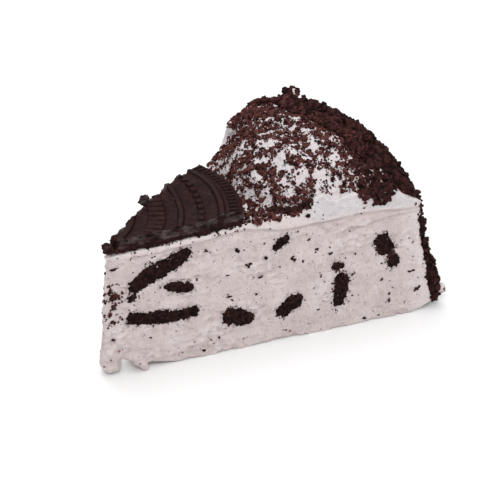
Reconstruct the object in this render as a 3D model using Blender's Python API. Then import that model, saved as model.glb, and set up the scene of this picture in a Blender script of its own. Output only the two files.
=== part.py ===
"""A slice of cookies and cream cheesecake, cut from a round cake and lying on its base.

Sizes are in millimetres, and MM turns them into metres as a mesh is made. While the slice is
modelled the cake's axis is the origin, X runs along the middle of the slice to the rim, and
the base is at Z = 0. A place on the cake is a radius r, an angle and a height z. The empty at
the end moves the slice, so that its origin is the middle of its base.
"""

import math
import random

import bmesh
import bpy
from mathutils import Matrix, Vector, noise

MM = 0.001
GAP = 0.3
POCKET_GAP = 0.4

# The whole slice is a ninth of the cake
SLICE_ANGLE = math.radians(40)
FACE = SLICE_ANGLE / 2
TIP = 1.5
WALL_FOOT_RADIUS = 124.9
WALL_LEAN = 0.12
WALL_TOP = 48.0
STATIONS = 20

# The filling, whose front end is lifted off the plate
CREAM_WALL = 2.8
LIFTED_EDGE = [(TIP, 8.2), (8.7, 4.8), (16.4, 2.5), (22, 1.2), (27.5, 0)]
CREASE = [(0, 46.8), (13, 46.2), (30, 47), (52, 48.6), (69, 45.6), (80, 45.8), (97, 46.3), (118, 44.6)]

# The whipped cream is a thin layer and a wall, with a mound near the rim
CREAM_LAYER_TOP = [(0, 48.5), (17, 49), (35, 49.8), (52, 51.3), (60, 51), (122, 50.5)]
WALL_BASE = 0.6
MOUND_RADIUS = 107.7
MOUND_ANGLE = math.radians(3)
MOUND_LENGTH = 49
MOUND_WIDTH = 39.4
MOUND_HEIGHT = 18
MOUND_CROWN = 2.92
MOUND_SIDE = 0.72
SHOULDER_START = 105
COOKIE_STEPS = 8
MOUND_STEPS = 13
RIM_STEPS = 7
WALL_HEIGHTS = [44, 38, 32, 26, 20, 14, 8, 4, WALL_BASE]

# Cake crumbs are pressed on the rim and the outer side, and heaped at the foot
COAT_SIDE = 2.3
COAT_TOP = 2.4
COAT_FOOT = 6.2
COAT_BASE = 0.3

# The large embossed cookie on the front is cut by both sides of the slice
COOKIE_CENTRE = Vector((0.2, 22.3))
COOKIE_RADIUS = 63
COOKIE_THICKNESS = 4.6
COOKIE_LIFT = 0.5
COOKIE_FRONT = 5.5
COOKIE_RINGS = [(20, 0), (23, 0), (23.6, 0.7), (25, 0.7), (25.6, 0), (40, 0), (40.6, 0.7), (42, 0.7)]
COOKIE_RINGS += [(42.6, 0), (54, 0), (54.6, 0.8), (56.2, 0.8), (56.8, 0), (62.4, 0), (COOKIE_RADIUS, -0.6)]
COOKIE_UNDER = (COOKIE_RADIUS, 55, 46, 37, 28, 20)
COOKIE_TURNS = (math.radians(-112), math.radians(14))
COOKIE_COLUMNS = 40
# Its raised work, from the rim inwards: count, radius, length, width, height
COOKIE_BLOCKS = {
    "flutes": (52, 59.7, 4.4, 1.9, 0.6),
    "beads": (28, 48.3, 3.2, 3.2, 0.7),
    "petals": (26, 32.8, 9, 3.4, 0.6),
}

# Wafer pieces in the cuts narrow behind the face. Near ones: (r, z, width) along the middle
SHARD_DEPTH = 8
NEAR_SHARDS = {
    "leaning_bar": [(10.3, 34.2, 4.2), (16, 37.6, 5.8), (22.5, 40.6, 6.4), (28.4, 43.1, 4.8),
                    (31.6, 44.4, 3)],
    "lying_bar": [(9, 22.4, 3.8), (14.5, 21.3, 4.4), (21, 20.6, 5.2), (28, 19.5, 4), (34, 20.2, 4)],
    "small_leaf": [(22.4, 32.2, 1.8), (25.6, 31.7, 3.8), (29, 30.7, 4.2), (32.4, 30, 2.6)],
    "front_block": [(45.3, 15.5, 5.2), (48.6, 14.2, 6.6), (52, 12.7, 6.4), (54.6, 12.2, 3.4)],
    "middle_block": [(65.8, 11.4, 3.8), (68.5, 13.3, 5.6), (71.6, 15.3, 6), (74, 16.5, 3.6)],
    "upper_chip": [(63.3, 39.3, 2), (65.8, 40.9, 3.4), (68.2, 42.2, 2.6)],
    "standing_bar": [(89.7, 22.6, 4), (89.9, 19, 5.2), (89.4, 14.4, 5.4), (88.9, 10.6, 4)],
    "standing_cap": [(86.6, 26.3, 2.6), (88.5, 26.7, 3.4), (90.3, 26.3, 2.2)],
    "rear_bar": [(104.9, 35.2, 5.6), (106.5, 31.8, 6), (108, 28.8, 5.4)],
    "rear_bar_foot": [(109.7, 25.8, 4), (110.6, 23.9, 5), (111.2, 22.6, 4)],
    "front_chip": [(8.9, 30.2, 1.7), (10.3, 30.4, 2.1), (11.6, 30.7, 1.5)],
}
# The far cut has pieces of the same kinds: (r, z, length, width, tilt)
FAR_SHARDS = {
    "far_bar_front": (21, 24, 18, 4.6, -12),
    "far_bar_high": (40, 37, 17, 5, 24),
    "far_block_low": (47, 13, 9, 6.2, -20),
    "far_bar_middle": (66, 28, 19, 4.8, 68),
    "far_chip_high": (81, 40, 7, 3.4, 15),
    "far_block_rear": (88, 15, 11, 5.8, 38),
    "far_bar_rear": (105, 31, 17, 5.2, -64),
    "far_chip_low": (111, 9, 8, 4, 5),
}

# Crumbs as (smallest, largest) half widths, how many there are, and the room each one has
MOUND_CRUMBS = 88
MOUND_CRUMB_SIZES = (1.3, 2.2)
MOUND_CRUMB_SPACING = 3.6
RIM_CRUMBS = 20
SIDE_CRUMBS = 24
COAT_CRUMB_SIZES = (1.4, 2.1)
COAT_CRUMB_SPACING = 5.5

# Single lumps as a place (r, angle, z) and half widths
CREST_PEAK = ((110, math.radians(12), 69), (2.2, 2.2, 2.1))
CREAM_DABS = [((86, FACE, 59.5), (3, 3, 3)), ((76, math.radians(6), 62), (2.2, 2.2, 2.2))]
COOKIE_FLAKE = ((29, FACE + 0.02, 57), (2.4, 1.8, 2.2))
COOKIE_POINT = ((2.9, 0, 51.1), (2.1, 2.1, 2.0))

# Dabs of filling that hang down to the plate, as rings (x, y, z, radius)
TIP_FOOT = [(1.2, 0, 41, 0.5), (1, 0, 28, 1.2), (0.7, 0, 18, 1.6), (0.5, 0.2, 13, 2), (1.2, 0.8, 9.5, 2.9),
            (2.6, 1.4, 6, 3.8), (3.3, 1.9, 3.4, 4.1), (3.6, 2.2, 1.4, 3.4), (3.6, 2.3, 0, 1.8)]
SIDE_FOOT = [(9, -2.3, 6.8, 2.4), (11.2, -3.6, 4, 2.8), (12.9, -4.8, 1.6, 1.9), (13.4, -5.3, 0, 1)]
FOOT_SIDES = 8


def material_of(name, colour, roughness):
    material = bpy.data.materials.new(name)
    material.use_nodes = True
    shader = material.node_tree.nodes["Principled BSDF"]
    shader.inputs["Base Color"].default_value = (*colour, 1)
    shader.inputs["Roughness"].default_value = roughness
    shader.inputs["Metallic"].default_value = 0
    return material


def at(r, angle, z):
    """The point of a place on the cake."""
    return Vector((r * math.cos(angle), r * math.sin(angle), z))


def blend(low, high, value):
    """0 below low, 1 above high, and a smooth step between them."""
    t = min(max((value - low) / (high - low), 0), 1)
    return t * t * (3 - 2 * t)


def between(profile, value):
    """The height of a profile at a value, with a smooth run between its points."""
    if value <= profile[0][0]:
        return profile[0][1]
    for (x0, z0), (x1, z1) in zip(profile, profile[1:]):
        if value <= x1:
            return z0 + (z1 - z0) * blend(x0, x1, value)
    return profile[-1][1]


def add_object(name, bm, material):
    """Makes a named object of a closed mesh, in metres, with its faces pointing out."""
    bm.normal_update()
    bmesh.ops.recalc_face_normals(bm, faces=bm.faces)
    bmesh.ops.scale(bm, vec=(MM, MM, MM), verts=bm.verts)
    mesh = bpy.data.meshes.new(name)
    bm.to_mesh(mesh)
    bm.free()
    mesh.materials.append(material)
    obj = bpy.data.objects.new(name, mesh)
    bpy.context.scene.collection.objects.link(obj)
    return obj


def loft(name, loops, material):
    """Joins rings of points that have the same count, and closes both ends."""
    bm = bmesh.new()
    rings = [[bm.verts.new(point) for point in loop] for loop in loops]
    count = len(rings[0])
    for low, high in zip(rings, rings[1:]):
        for i in range(count):
            j = (i + 1) % count
            bm.faces.new((low[i], low[j], high[j], high[i]))
    bm.faces.new(rings[0])
    bm.faces.new(rings[-1])
    return add_object(name, bm, material)


def swept(name, section, material):
    """A layer of the slice, from the outline (r, z) that section gives at each angle."""
    angles = [-FACE + SLICE_ANGLE * k / STATIONS for k in range(STATIONS + 1)]
    loops = [[at(r, angle, z) for r, z in section(angle)] for angle in angles]
    return loft(name, loops, material)


def keep_main_body(bm):
    """Deletes all but the largest body: loose scraps go, and a sealed hollow is filled."""
    unseen = set(bm.verts)
    bodies = []
    while unseen:
        stack = [unseen.pop()]
        body = list(stack)
        while stack:
            for edge in stack.pop().link_edges:
                for vert in edge.verts:
                    if vert in unseen:
                        unseen.remove(vert)
                        body.append(vert)
                        stack.append(vert)
        bodies.append(body)
    bodies.sort(key=len, reverse=True)
    scrap = [vert for body in bodies[1:] for vert in body]
    bmesh.ops.delete(bm, geom=scrap, context="VERTS")


def apply_boolean(obj, helpers, operation):
    """Joins, cuts or trims an object with all of the helpers at once, and removes them."""
    collection = bpy.data.collections.new("helpers")
    bpy.context.scene.collection.children.link(collection)
    for helper in helpers:
        bpy.context.scene.collection.objects.unlink(helper)
        collection.objects.link(helper)
    modifier = obj.modifiers.new("join", "BOOLEAN")
    modifier.operand_type = "COLLECTION"
    modifier.collection = collection
    modifier.operation = operation
    modifier.solver = "EXACT"
    graph = bpy.context.evaluated_depsgraph_get()
    result = bpy.data.meshes.new_from_object(obj.evaluated_get(graph))
    obj.modifiers.remove(modifier)
    for helper in helpers:
        bpy.data.objects.remove(helper)
    bpy.data.collections.remove(collection)
    bm = bmesh.new()
    bm.from_mesh(result)
    bmesh.ops.triangulate(bm, faces=bm.faces)
    keep_main_body(bm)
    bm.to_mesh(obj.data)
    bm.free()
    bpy.data.meshes.remove(result)


def lump(centre, sizes, material, rng):
    """A crumb or a dab of cream: a ball of twenty faces, made uneven, squashed and turned."""
    bm = bmesh.new()
    bmesh.ops.create_icosphere(bm, subdivisions=1, radius=1)
    spin = Matrix.Rotation(rng.uniform(0, math.tau), 3, "Z")
    turn = spin @ Matrix.Rotation(rng.uniform(0, math.pi), 3, "X")
    for vert in bm.verts:
        turned = turn @ vert.co * rng.uniform(0.82, 1.12)
        vert.co = centre + Vector([turned[i] * sizes[i] for i in range(3)])
    return add_object("lump", bm, material)


# Shapes of the layers


def wall_radius(z):
    """The outer side of the cream wall, which leans out a little towards the base."""
    return WALL_FOOT_RADIUS - WALL_LEAN * z


def cookie_edge(angle):
    """The radius at which the cookie ends."""
    along = COOKIE_CENTRE.x * math.cos(angle) + COOKIE_CENTRE.y * math.sin(angle)
    return along + math.sqrt(along**2 - COOKIE_CENTRE.length_squared + COOKIE_RADIUS**2)


def coat_start(angle):
    """The radius at which the ring of coarse crumbs begins, only at the rim by the near cut."""
    ring = 104 - 5 * math.sin((angle + FACE) / SLICE_ANGLE * math.pi)
    by_the_cut = wall_radius(WALL_TOP) - 1.6
    return by_the_cut + (ring - by_the_cut) * blend(-FACE, -FACE + math.radians(8), angle)


def layer_top(r, angle):
    """The thin layer of cream, which swells and then sinks along the cookie's far side."""
    far = blend(0, FACE, angle)
    swell = 1.1 * blend(8, 28, r) * (1 - blend(40, 64, r))
    sink = 1.8 * blend(40, 70, r) * (1 - blend(72, 90, r))
    return between(CREAM_LAYER_TOP, r) + (swell - sink) * far


def by_near_cut(r, angle, reach):
    """1 at the near cut, falling away within a reach behind it."""
    return math.exp(-((r * (angle + FACE) / reach) ** 2))


def mound_rise(r, angle):
    """How far the mound stands above the thin layer."""
    along = r * math.cos(angle - MOUND_ANGLE) - MOUND_RADIUS
    across = r * math.sin(angle - MOUND_ANGLE)
    distance = math.hypot(along / MOUND_LENGTH, across / MOUND_WIDTH)
    rise = MOUND_HEIGHT * max(1 - distance**MOUND_CROWN, 0) ** MOUND_SIDE
    rise *= 1 - 0.6 * blend(math.radians(8), FACE, angle) * (1 - blend(81, 89, r))
    swirl = 0.8 * math.sin(0.42 * r + 5 * angle) * min(rise / 6, 1)
    smear = 6 * math.exp(-(((r - 81) / 5.5) ** 2)) * by_near_cut(r, angle, 9)
    lip = 4.2 * blend(84, 92, r) * (1 - blend(108, 117, r)) * by_near_cut(r, angle, 10)
    return max(rise + swirl, smear + lip)


def cream_height(r, angle):
    """The top of the cream, flat under the cookie and pressed down under the crumb ring."""
    start = coat_start(angle)
    uneven = 0.9 * noise.noise(at(r, angle, 0) / 9)
    pressed = (COAT_TOP + GAP) * blend(start - 1, start + 4, r)
    rise = max(mound_rise(r, angle) + uneven - pressed, 0.4)
    clear_of_cookie = blend(0, 8, r - cookie_edge(angle) - 1)
    rim = wall_radius(WALL_TOP)
    shoulder = max(1 - (max(r - SHOULDER_START, 0) / (rim - SHOULDER_START)) ** 2, 0)
    sag = (between(CREAM_LAYER_TOP, rim) - WALL_TOP) * blend(110, rim, r)
    return layer_top(r, angle) + rise * clear_of_cookie * math.sqrt(shoulder) - sag


def top_radii(angle):
    """Radii along the top: up to the cookie's edge, over the mound, and over the rim."""
    stops = [TIP + GAP / 2, cookie_edge(angle) + 1, coat_start(angle), wall_radius(WALL_TOP)]
    radii = [stops[0]]
    for k in range(COOKIE_STEPS):
        radii.append(stops[0] + (stops[1] - stops[0]) * (k + 1) / COOKIE_STEPS)
    for k in range(MOUND_STEPS):
        radii.append(stops[1] + (stops[2] - stops[1]) * (k + 1) / MOUND_STEPS)
    for k in range(RIM_STEPS):
        radii.append(stops[2] + (stops[3] - stops[2]) * math.sin(math.pi / 2 * (k + 1) / RIM_STEPS))
    return radii


def cream_outside(angle):
    """The outer line of the cream: along the top, over the rim and down the wall."""
    top = [(r, cream_height(r, angle)) for r in top_radii(angle)]
    return top + [(wall_radius(z), z) for z in WALL_HEIGHTS]


def filling_section(angle):
    foot = wall_radius(0) - CREAM_WALL
    base = LIFTED_EDGE + [(50, 0), (75, 0), (100, 0), (foot, 0)]
    side = [(wall_radius(z) - CREAM_WALL, z) for z in (10, 20, 30, 40)]
    radii = (wall_radius(WALL_TOP) - CREAM_WALL, 108, 97, 88, 80, 74, 69, 60, 52, 44, 36, 30, 22, 13, TIP)
    top = [(r, between(CREASE, r) - GAP / 2) for r in radii]
    front = [(TIP, z) for z in (36, 26, 16)]
    return base + side + top + front


def cream_section(angle):
    radii = (TIP + GAP / 2, 13, 22, 30, 36, 44, 52, 60, 69, 74, 80, 88, 97, 108)
    under = [(r, between(CREASE, r) + GAP / 2) for r in radii]
    corner = wall_radius(WALL_TOP) - CREAM_WALL + GAP
    under.append((corner, between(CREASE, corner) + GAP / 2))
    inner = [(wall_radius(z) - CREAM_WALL + GAP, z) for z in (40, 30, 20, 10, WALL_BASE)]
    return under + inner + cream_outside(angle)[::-1]


def coat_thickness(r, z, angle):
    uneven = noise.noise(at(r, angle, z) / 3.5)
    if z > WALL_TOP - 1:
        return 0.5 + COAT_TOP * blend(-1, 5, r - coat_start(angle)) * (1 + 0.25 * uneven)
    heap = blend(36, 7, z)
    corner = 1.8 * by_near_cut(r, angle, 9) * blend(22, 9, z)
    rounding = 1 - 0.35 * blend(6, 0, z)
    return (COAT_SIDE + (COAT_FOOT - COAT_SIDE) * heap + corner) * rounding + (0.4 + 0.8 * heap) * uneven


def coat_section(angle):
    """A skin over the rim and down the wall."""
    outside = [Vector(point) for point in cream_outside(angle)]
    inner = []
    outer = []
    for i in range(COOKIE_STEPS + MOUND_STEPS, len(outside)):
        after = outside[min(i + 1, len(outside) - 1)]
        along = (after - outside[i - 1]).normalized()
        out = Vector((-along.y, along.x))
        thickness = coat_thickness(*outside[i], angle)
        inner.append(outside[i] + out * GAP)
        outer.append(outside[i] + out * (GAP + thickness))
    base = COAT_BASE + 2.2 * by_near_cut(WALL_FOOT_RADIUS, angle, 7)
    outer[-1].y = base
    inner[-1].y = base
    outer[-2].y = max(outer[-2].y, base + 1.5)
    inner[-2].y = max(inner[-2].y, base + 1.5)
    return [(p.x, p.y) for p in inner + outer[::-1]]


# Pieces


def smear_foot(rings, material):
    """A dab of filling that hangs down to the plate, from rings of (x, y, z, radius)."""
    turns = [math.tau * i / FOOT_SIDES for i in range(FOOT_SIDES)]
    loops = []
    for x, y, z, radius in rings:
        loops.append([Vector((x + radius * math.cos(t), y + radius * math.sin(t), z)) for t in turns])
    return loft("foot", loops, material)


def shard_outline(line, rng):
    """A broken piece of wafer seen in the cut, from points (r, z, width) along its middle."""
    points = [Vector((r, z)) for r, z, _ in line]
    left = []
    right = []
    for i, (_, _, width) in enumerate(line):
        along = (points[min(i + 1, len(line) - 1)] - points[max(i - 1, 0)]).normalized()
        across = Vector((-along.y, along.x)) * width / 2
        left.append(points[i] + across * rng.uniform(0.88, 1.12) + along * rng.uniform(-0.4, 0.4))
        right.append(points[i] - across * rng.uniform(0.88, 1.12) + along * rng.uniform(-0.4, 0.4))
    first = points[0] + (points[0] - points[1]).normalized() * line[0][2] * 0.22
    last = points[-1] + (points[-1] - points[-2]).normalized() * line[-1][2] * 0.22
    return [first] + left + [last] + right[::-1]


def on_face(r, z, depth, side):
    """A point inside the slice, at a depth behind a cut face: side is -1 near, +1 far."""
    angle = side * FACE
    inward = Vector((math.sin(FACE), -side * math.cos(FACE), 0))
    return at(r, angle, z) + inward * depth


def grown(outline, grow):
    """The outline with each of its sides moved out by the same distance."""
    result = []
    for i, point in enumerate(outline):
        before = (point - outline[i - 1]).normalized()
        after = (outline[(i + 1) % len(outline)] - point).normalized()
        corner = (before + after).normalized()
        out = Vector((-corner.y, corner.x))
        result.append(point + out * grow / max(corner.dot(after), 0.6))
    return result


def shard(name, outline, side, grow, material):
    """A piece that goes into the filling and narrows. Grown, it is the pocket's cutter."""
    middle = sum(outline, Vector((0, 0))) / len(outline)
    depth = min(SHARD_DEPTH, 0.27 * middle.x)
    loops = []
    for behind, size in ((-grow, 1), (0.55 * depth, 0.96), (depth + grow, 0.7)):
        smaller = [middle + (point - middle) * size for point in outline]
        loops.append([on_face(r, z, behind, side) for r, z in grown(smaller, grow)])
    return loft(name, loops, material)


def bar_line(r, z, length, width, tilt, rng):
    """The middle line of a straight bar with uneven widths."""
    direction = Vector((math.cos(math.radians(tilt)), math.sin(math.radians(tilt))))
    shares = (-0.42, -0.14, 0.14, 0.42)
    ends = (0.7, 1, 1, 0.7)
    return [(r + direction.x * length * s, z + direction.y * length * s, width * e * rng.uniform(0.85, 1.1))
            for s, e in zip(shares, ends)]


def add_shards(filling, material):
    """Cookie pieces at both cuts, each in a pocket of the filling."""
    rng = random.Random(11)
    pockets = []
    lines = [(name, line, -1) for name, line in NEAR_SHARDS.items()]
    lines += [(name, bar_line(*place, rng), 1) for name, place in FAR_SHARDS.items()]
    for name, line, side in lines:
        outline = shard_outline(line, rng)
        shard("cookie_" + name, outline, side, 0, material)
        pockets.append(shard("pocket", outline, side, POCKET_GAP, material))
    apply_boolean(filling, pockets, "DIFFERENCE")


def bare(r, angle):
    """Places where the cream was wiped clean: the smear and the corner at the near cut."""
    across = r * (angle + FACE)
    return math.hypot((r - 81) / 9, across / 12) < 1 or math.hypot((r - 113) / 7, across / 5) < 1


def sprinkle_mound(material):
    """The largest crumbs on the mound, no two closer than their spacing."""
    rng = random.Random(5)
    crumbs = []
    places = []
    while len(crumbs) < MOUND_CRUMBS:
        r = math.sqrt(rng.uniform(52**2, 112**2))
        angle = rng.uniform(-FACE, FACE)
        size = rng.uniform(*MOUND_CRUMB_SIZES)
        reach = (size + 1) / r
        room = min(coat_start(angle + step) for step in (-reach, 0, reach)) - size - 1.3
        if r < cookie_edge(angle) + size + 2 or r > room or bare(r, angle):
            continue
        place = at(r, angle, cream_height(r, angle) + 0.25 * size)
        if any((place - other).length < MOUND_CRUMB_SPACING for other in places):
            continue
        places.append(place)
        sizes = [size * rng.uniform(0.75, 1.15) for _ in range(3)]
        crumbs.append(lump(place, sizes, material, rng))
    return crumbs


def cream_dabs(material):
    """A dab that juts out at the far cut and a knob on the front slope."""
    rng = random.Random(3)
    return [lump(at(*place), sizes, material, rng) for place, sizes in CREAM_DABS]


def sprinkle_coat(material):
    """A peak on the crest, and coarse crumbs on the rim ring and down the side."""
    rng = random.Random(8)
    place, sizes = CREST_PEAK
    crumbs = [lump(at(*place), sizes, material, rng)]
    places = []
    while len(crumbs) < RIM_CRUMBS + SIDE_CRUMBS:
        angle = rng.uniform(-FACE, FACE)
        size = rng.uniform(*COAT_CRUMB_SIZES)
        if len(crumbs) < RIM_CRUMBS:
            r = rng.uniform(coat_start(angle) + 5, 117)
            if coat_start(angle) > 110:
                continue
            z = cream_height(r, angle)
            place = at(r, angle, z + GAP + coat_thickness(r, z, angle) + 0.3 * size)
        else:
            z = rng.uniform(4, 46)
            r = wall_radius(z)
            place = at(r + GAP + coat_thickness(r, z, angle) + 0.2 * size, angle, z)
        if any((place - other).length < COAT_CRUMB_SPACING for other in places):
            continue
        places.append(place)
        crumbs.append(lump(place, [size * rng.uniform(0.8, 1.15) for _ in range(3)], material, rng))
    return crumbs


def cookie_warp(x, y):
    """The cookie's underside follows the thin layer of cream."""
    r = math.hypot(x, y)
    angle = math.atan2(y, x)
    return layer_top(r, angle) + COOKIE_LIFT


def disc_point(radius, turn, z):
    return Vector((COOKIE_CENTRE.x + radius * math.cos(turn), COOKIE_CENTRE.y + radius * math.sin(turn), z))


def disc_block(radius, turn, length, width, height, material):
    """A raised block on the disc, narrower at its top, with its length towards the centre."""
    loops = []
    for z, size in ((COOKIE_THICKNESS - 1, 1), (COOKIE_THICKNESS + height, 0.6)):
        loop = []
        for a, b in ((-1, -1), (1, -1), (1, 1), (-1, 1)):
            step = b * width * size / 2 / radius
            loop.append(disc_point(radius + a * length * size / 2, turn + step, z))
        loops.append(loop)
    return loft("block", loops, material)


def embossed_cookie(material):
    """A sector of a large round cookie with a fluted rim, rings, a row of beads and petals."""
    first, last = COOKIE_TURNS
    loops = []
    for k in range(COOKIE_COLUMNS + 1):
        turn = first + (last - first) * k / COOKIE_COLUMNS
        top = [disc_point(radius, turn, COOKIE_THICKNESS + rise) for radius, rise in COOKIE_RINGS]
        under = [disc_point(radius, turn, 0) for radius in COOKIE_UNDER]
        loops.append(top + under)
    cookie = loft("cookie_disc", loops, material)
    raised = []
    for count, radius, *sizes in COOKIE_BLOCKS.values():
        for k in range(count):
            turn = first + (last - first) * (k + 0.5) / count
            raised.append(disc_block(radius, turn, *sizes, material))
    apply_boolean(cookie, raised, "UNION")
    far = wall_radius(0)
    corners = [(COOKIE_FRONT, -COOKIE_FRONT), (far, -far), (far, far), (COOKIE_FRONT, COOKIE_FRONT)]
    spread = math.tan(FACE)
    loops = [[Vector((x, y * spread, z)) for x, y in corners] for z in (-3, 9)]
    apply_boolean(cookie, [loft("trim", loops, material)], "INTERSECT")
    for vert in cookie.data.vertices:
        vert.co.z += cookie_warp(vert.co.x / MM, vert.co.y / MM) * MM
    place, sizes = COOKIE_FLAKE
    apply_boolean(cookie, [lump(at(*place), sizes, material, random.Random(4))], "UNION")


def tip_fragment(material):
    """The cookie's crumbled point, a small rounded piece over the tip of the slice."""
    place, sizes = COOKIE_POINT
    piece = lump(at(*place), sizes, material, random.Random(2))
    piece.name = "cookie_tip_fragment"


def build():
    for obj in list(bpy.data.objects):
        bpy.data.objects.remove(obj)
    filling_look = material_of("filling", (0.63, 0.54, 0.53), 0.55)
    cream_look = material_of("whipped_cream", (0.78, 0.75, 0.78), 0.5)
    crumb_look = material_of("cake_crumbs", (0.035, 0.016, 0.013), 0.85)
    cookie_look = material_of("chocolate_cookie", (0.022, 0.014, 0.012), 0.6)

    filling = swept("filling", filling_section, filling_look)
    apply_boolean(filling, [smear_foot(rings, filling_look) for rings in (TIP_FOOT, SIDE_FOOT)], "UNION")
    add_shards(filling, cookie_look)

    cream = swept("cream_topping", cream_section, cream_look)
    apply_boolean(cream, cream_dabs(cream_look) + sprinkle_mound(cream_look), "UNION")
    coat = swept("rim_crumb_coat", coat_section, crumb_look)
    apply_boolean(coat, sprinkle_coat(crumb_look), "UNION")
    embossed_cookie(cookie_look)
    tip_fragment(cookie_look)

    pieces = list(bpy.data.objects)
    points = [vert.co for piece in pieces for vert in piece.data.vertices]
    low = Vector([min(p[i] for p in points) for i in range(3)])
    high = Vector([max(p[i] for p in points) for i in range(3)])
    middle_of_base = Vector(((low.x + high.x) / 2, (low.y + high.y) / 2, low.z))
    slice_place = bpy.data.objects.new("slice", None)
    slice_place.location = -middle_of_base
    bpy.context.scene.collection.objects.link(slice_place)
    for piece in pieces:
        piece.parent = slice_place


build()
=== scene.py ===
from math import cos, pi, radians, sin

import bpy
import numpy as np
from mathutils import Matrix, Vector, kdtree, noise


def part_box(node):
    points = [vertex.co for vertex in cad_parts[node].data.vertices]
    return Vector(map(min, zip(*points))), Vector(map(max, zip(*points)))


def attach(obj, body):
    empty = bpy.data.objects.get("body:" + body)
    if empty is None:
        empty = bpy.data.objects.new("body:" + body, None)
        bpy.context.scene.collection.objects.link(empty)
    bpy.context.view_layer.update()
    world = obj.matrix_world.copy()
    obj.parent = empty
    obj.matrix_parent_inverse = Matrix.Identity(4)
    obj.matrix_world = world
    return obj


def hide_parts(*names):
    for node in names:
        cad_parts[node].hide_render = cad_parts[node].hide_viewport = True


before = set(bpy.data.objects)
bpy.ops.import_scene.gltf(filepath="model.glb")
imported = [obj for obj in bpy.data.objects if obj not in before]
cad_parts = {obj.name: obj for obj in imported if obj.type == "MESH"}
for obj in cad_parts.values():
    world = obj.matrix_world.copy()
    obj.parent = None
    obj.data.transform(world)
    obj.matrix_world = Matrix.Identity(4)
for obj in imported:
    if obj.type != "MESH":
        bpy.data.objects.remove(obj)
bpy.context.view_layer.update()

# The place of the slice. Sizes below are in millimetres from the foot of the whole cake's axis,
# with X along the middle of the slice to the rim. A place on the cake is a radius, an angle
# and a height. The cuts are the two planes through the axis, at half the slice's angle.
MM = 0.001
FILLING_RADIUS = 122.1
CREAM_WALL = 2.8
WALL_LEAN = 0.12
FACE = radians(20)
NEAR, FAR = -1, 1
filling_low, filling_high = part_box("filling")
AXIS = Vector((filling_high.x - FILLING_RADIUS * MM, (filling_low.y + filling_high.y) / 2, 0))


def on_cake(x, y, z):
    """The point in the scene of a place measured in millimetres from the cake's axis."""
    return AXIS + Vector((x, y, z)) * MM


def inward(side):
    """The direction into the slice from its near or far cut."""
    return np.array((sin(FACE), -side * cos(FACE), 0))


# The setting: a plain pale floor, soft studio light from above and both sides, and the camera
# where the photographer stood, about 70 cm away and 30 degrees up, with a long lens.
CAMERA_PLACE = (-327.6, -449.1, 373.6)
CAMERA_TARGET = (72.05, 5.47, 22.0)
LENS = 135.8
FLOOR_SIZE = 4.0
FLOOR_COLOUR = (0.88, 0.89, 0.89)
FLOOR_LIGHT = (0.92, 0.93, 0.93)
FLOOR_CLOUDS = 3.0
STUDIO_STRENGTH = 0.5
# Place, size and power of each lamp, and its colour
LIGHTS = {
    "key": ((-460, -480, 780), 0.4, 4.0, (1.0, 0.985, 0.97)),
    "top": ((120, 60, 900), 0.7, 3.2, (1.0, 1.0, 1.0)),
    "side": ((560, -620, 420), 0.6, 1.9, (0.97, 0.985, 1.0)),
    "back": ((260, 640, 560), 0.6, 1.6, (1.0, 1.0, 1.0)),
}


def new_object(name, data):
    made = bpy.data.objects.new(name, data)
    bpy.context.scene.collection.objects.link(made)
    return made


def aim(thing, place):
    """Puts a lamp or the camera at its place and turns it to the slice."""
    thing.location = on_cake(*place)
    thing.rotation_euler = (on_cake(*CAMERA_TARGET) - thing.location).to_track_quat("-Z", "Y").to_euler()


def add(beside, kind, inputs, **settings):
    """Adds a shader node beside an output. Its inputs are numbers, colours or other outputs."""
    tree = beside.id_data
    made = tree.nodes.new("ShaderNode" + kind)
    for name, value in settings.items():
        setattr(made, name, value)
    for name, value in inputs.items():
        if isinstance(value, bpy.types.NodeSocket):
            tree.links.new(value, made.inputs[name])
        else:
            made.inputs[name].default_value = value
    return made


def link(output, socket):
    output.id_data.links.new(output, socket)


def new_material(name, surface):
    """A new material, its shader, and the place on the object as an output."""
    material = bpy.data.materials.new(name)
    material.use_nodes = True
    shader = material.node_tree.nodes["Principled BSDF"]
    for socket, value in surface.items():
        shader.inputs[socket].default_value = value
    return material, shader, add(shader.outputs[0], "TexCoord", {}).outputs["Object"]


def mixed(share, first, second):
    """The first colour with a share of the second mixed in. Each is three numbers or an output."""
    colours = [(*colour, 1) if isinstance(colour, tuple) else colour for colour in (first, second)]
    return add(share, "MixRGB", {"Fac": share, "Color1": colours[0], "Color2": colours[1]}).outputs[0]


def floor_finish():
    material, shader, place = new_material("pale_floor", {"Roughness": 0.5})
    grain = add(place, "TexNoise", {"Vector": place, "Scale": FLOOR_CLOUDS}).outputs["Fac"]
    link(mixed(grain, FLOOR_COLOUR, FLOOR_LIGHT), shader.inputs["Base Color"])
    return material


bpy.ops.object.select_all(action="DESELECT")
bpy.ops.mesh.primitive_plane_add(size=FLOOR_SIZE, location=AXIS)
floor = bpy.context.object
floor.name = "floor"
floor.data.materials.append(floor_finish())

for light_name, (spot, size, power, tint) in LIGHTS.items():
    lamp = bpy.data.lights.new(light_name, "AREA")
    lamp.shape = "DISK"
    lamp.size = size
    lamp.energy = power
    lamp.color = tint
    aim(new_object(light_name, lamp), spot)

world = bpy.data.worlds.new("studio")
world.use_nodes = True
world.node_tree.nodes["Background"].inputs["Color"].default_value = (1, 1, 1, 1)
world.node_tree.nodes["Background"].inputs["Strength"].default_value = STUDIO_STRENGTH
bpy.context.scene.world = world
bpy.context.scene.view_settings.view_transform = "Standard"

lens = bpy.data.cameras.new("camera")
lens.lens = LENS
camera = new_object("camera", lens)
aim(camera, CAMERA_PLACE)
bpy.context.scene.camera = camera


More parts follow.
